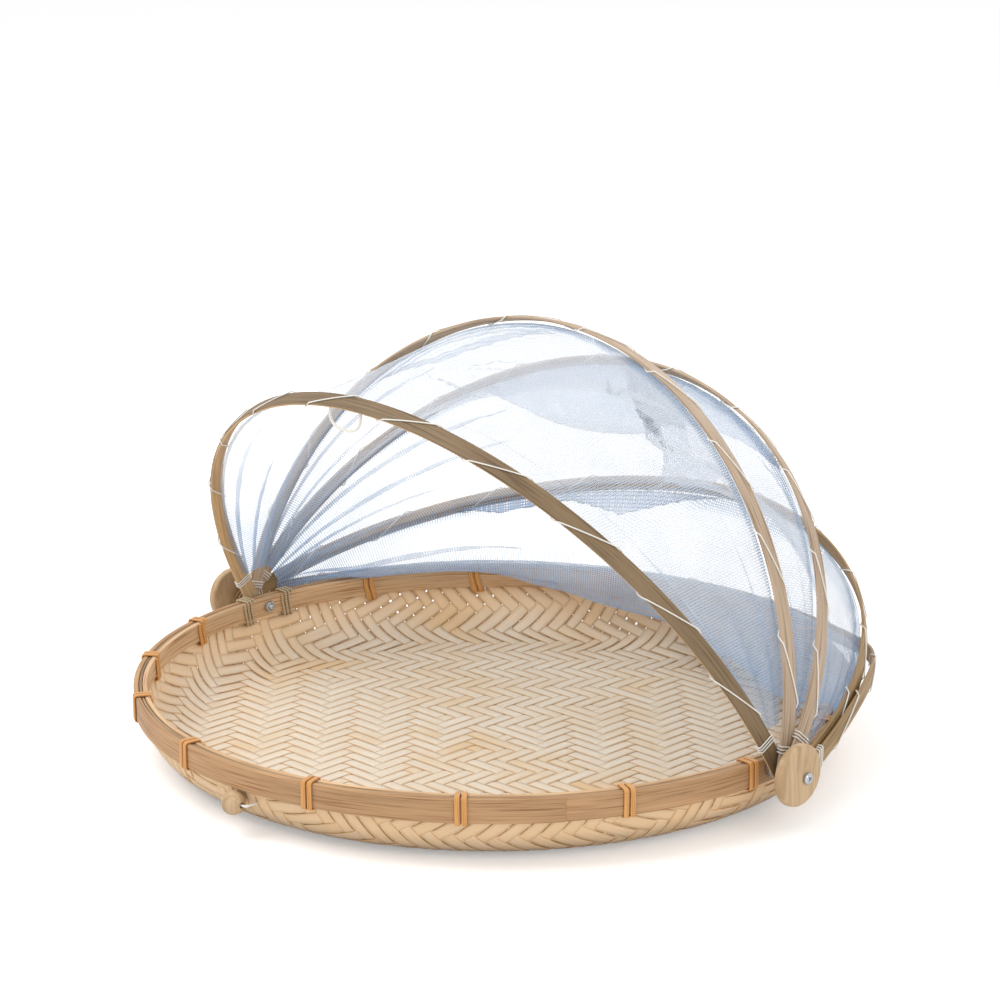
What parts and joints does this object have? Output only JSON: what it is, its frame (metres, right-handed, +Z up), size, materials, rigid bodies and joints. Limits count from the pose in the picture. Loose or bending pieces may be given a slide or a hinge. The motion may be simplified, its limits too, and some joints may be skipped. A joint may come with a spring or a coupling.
{
  "type": "woven tray with folding net canopy",
  "caption": "Round woven bamboo tray with a bent bamboo rim and a folding net canopy on bent bamboo hoops that turn about a bolt and wooden disc at each side.",
  "frame": {"origin": "centre of the tray's flat underside", "axes": "+X along the pivot line to the right-hand bolt, -Y towards the side that opens, +Z up"},
  "size_m": [0.4178, 0.3894, 0.215],
  "materials": {
    "woven_bamboo": "split bamboo skin and core splints, satin, woven",
    "rim_bamboo": "bent bamboo band, tan, satin",
    "inner_bamboo": "bent bamboo band, darker tan, satin",
    "rattan": "split rattan strand, waxy",
    "hoop_bamboo": "bent bamboo strip, satin",
    "white_thread": "twisted cotton thread",
    "tan_cord": "twisted jute cord",
    "net": "fine open tulle, pale blue-white",
    "turned_wood": "turned pale hardwood, clear matt lacquer",
    "zinc_steel": "zinc plated, satin",
    "elastic_cord": "round white elastic"
  },
  "bodies": {
    "tray": {"woven_base": "woven_bamboo", "rim_outer_band": "rim_bamboo", "rim_inner_band": "inner_bamboo", "rim_filler_splint": "woven_bamboo", "rattan_tie_01": "rattan", "rattan_tie_02": "rattan", "rattan_tie_03": "rattan", "rattan_tie_04": "rattan", "rattan_tie_05": "rattan", "rattan_tie_06": "rattan", "rattan_tie_07": "rattan", "rattan_tie_08": "rattan", "rattan_tie_09": "rattan", "rattan_tie_10": "rattan", "rattan_tie_11": "rattan", "rattan_tie_12": "rattan", "rattan_tie_13": "rattan", "rattan_tie_14": "rattan", "rattan_tie_15": "rattan", "pivot_lashing_right_rear": "tan_cord", "pivot_lashing_left_rear": "tan_cord", "pivot_lashing_left_front": "tan_cord", "right_pivot_screw": "zinc_steel", "right_pivot_nut": "zinc_steel", "right_pivot_spacer": "zinc_steel", "right_wooden_disc": "turned_wood", "left_pivot_screw": "zinc_steel", "left_pivot_nut": "zinc_steel", "left_pivot_spacer": "zinc_steel", "left_wooden_disc": "turned_wood", "closure_bead": "turned_wood", "bead_cord": "white_thread"},
    "hoop_1_frame": {"hoop_1": "hoop_bamboo", "hoop_1_lacing": "white_thread", "hoop_1_whipping_right": "white_thread", "hoop_1_whipping_left": "white_thread", "pull_loop": "elastic_cord"},
    "hoop_2_frame": {"hoop_2": "hoop_bamboo", "hoop_2_lacing": "white_thread", "hoop_2_whipping_right": "white_thread", "hoop_2_whipping_left": "white_thread", "net_gore_1": "net"},
    "hoop_3_frame": {"hoop_3": "hoop_bamboo", "hoop_3_lacing": "white_thread", "hoop_3_whipping_right": "white_thread", "hoop_3_whipping_left": "white_thread", "net_gore_2": "net"},
    "hoop_4_frame": {"hoop_4": "hoop_bamboo", "hoop_4_lacing": "white_thread", "hoop_4_whipping_right": "white_thread", "hoop_4_whipping_left": "white_thread", "net_gore_3": "net"},
    "hoop_5_frame": {"hoop_5": "hoop_bamboo", "hoop_5_lacing": "white_thread", "hoop_5_whipping_right": "white_thread", "hoop_5_whipping_left": "white_thread", "net_gore_4": "net"}
  },
  "joints": [
    {"name": "hoop_5_hinge", "type": "hinge", "parent": "tray", "child": "hoop_5_frame", "pos_m": [0, 0, 0.031], "axis": [1, 0, 0], "range_deg": [-3, 0]},
    {"name": "hoop_4_hinge", "type": "hinge", "parent": "hoop_5_frame", "child": "hoop_4_frame", "pos_m": [0, 0, 0.031], "axis": [1, 0, 0], "range_deg": [-4, 24], "deforming": ["net_gore_4"]},
    {"name": "hoop_3_hinge", "type": "hinge", "parent": "hoop_4_frame", "child": "hoop_3_frame", "pos_m": [0, 0, 0.031], "axis": [1, 0, 0], "range_deg": [-22.5, 10], "deforming": ["net_gore_3"]},
    {"name": "hoop_2_hinge", "type": "hinge", "parent": "hoop_3_frame", "child": "hoop_2_frame", "pos_m": [0, 0, 0.031], "axis": [1, 0, 0], "range_deg": [-13.3, 19.1], "deforming": ["net_gore_2"]},
    {"name": "hoop_1_hinge", "type": "hinge", "parent": "hoop_2_frame", "child": "hoop_1_frame", "pos_m": [0, 0, 0.031], "axis": [1, 0, 0], "range_deg": [-33.9, 0], "deforming": ["net_gore_1"]}
  ]
}
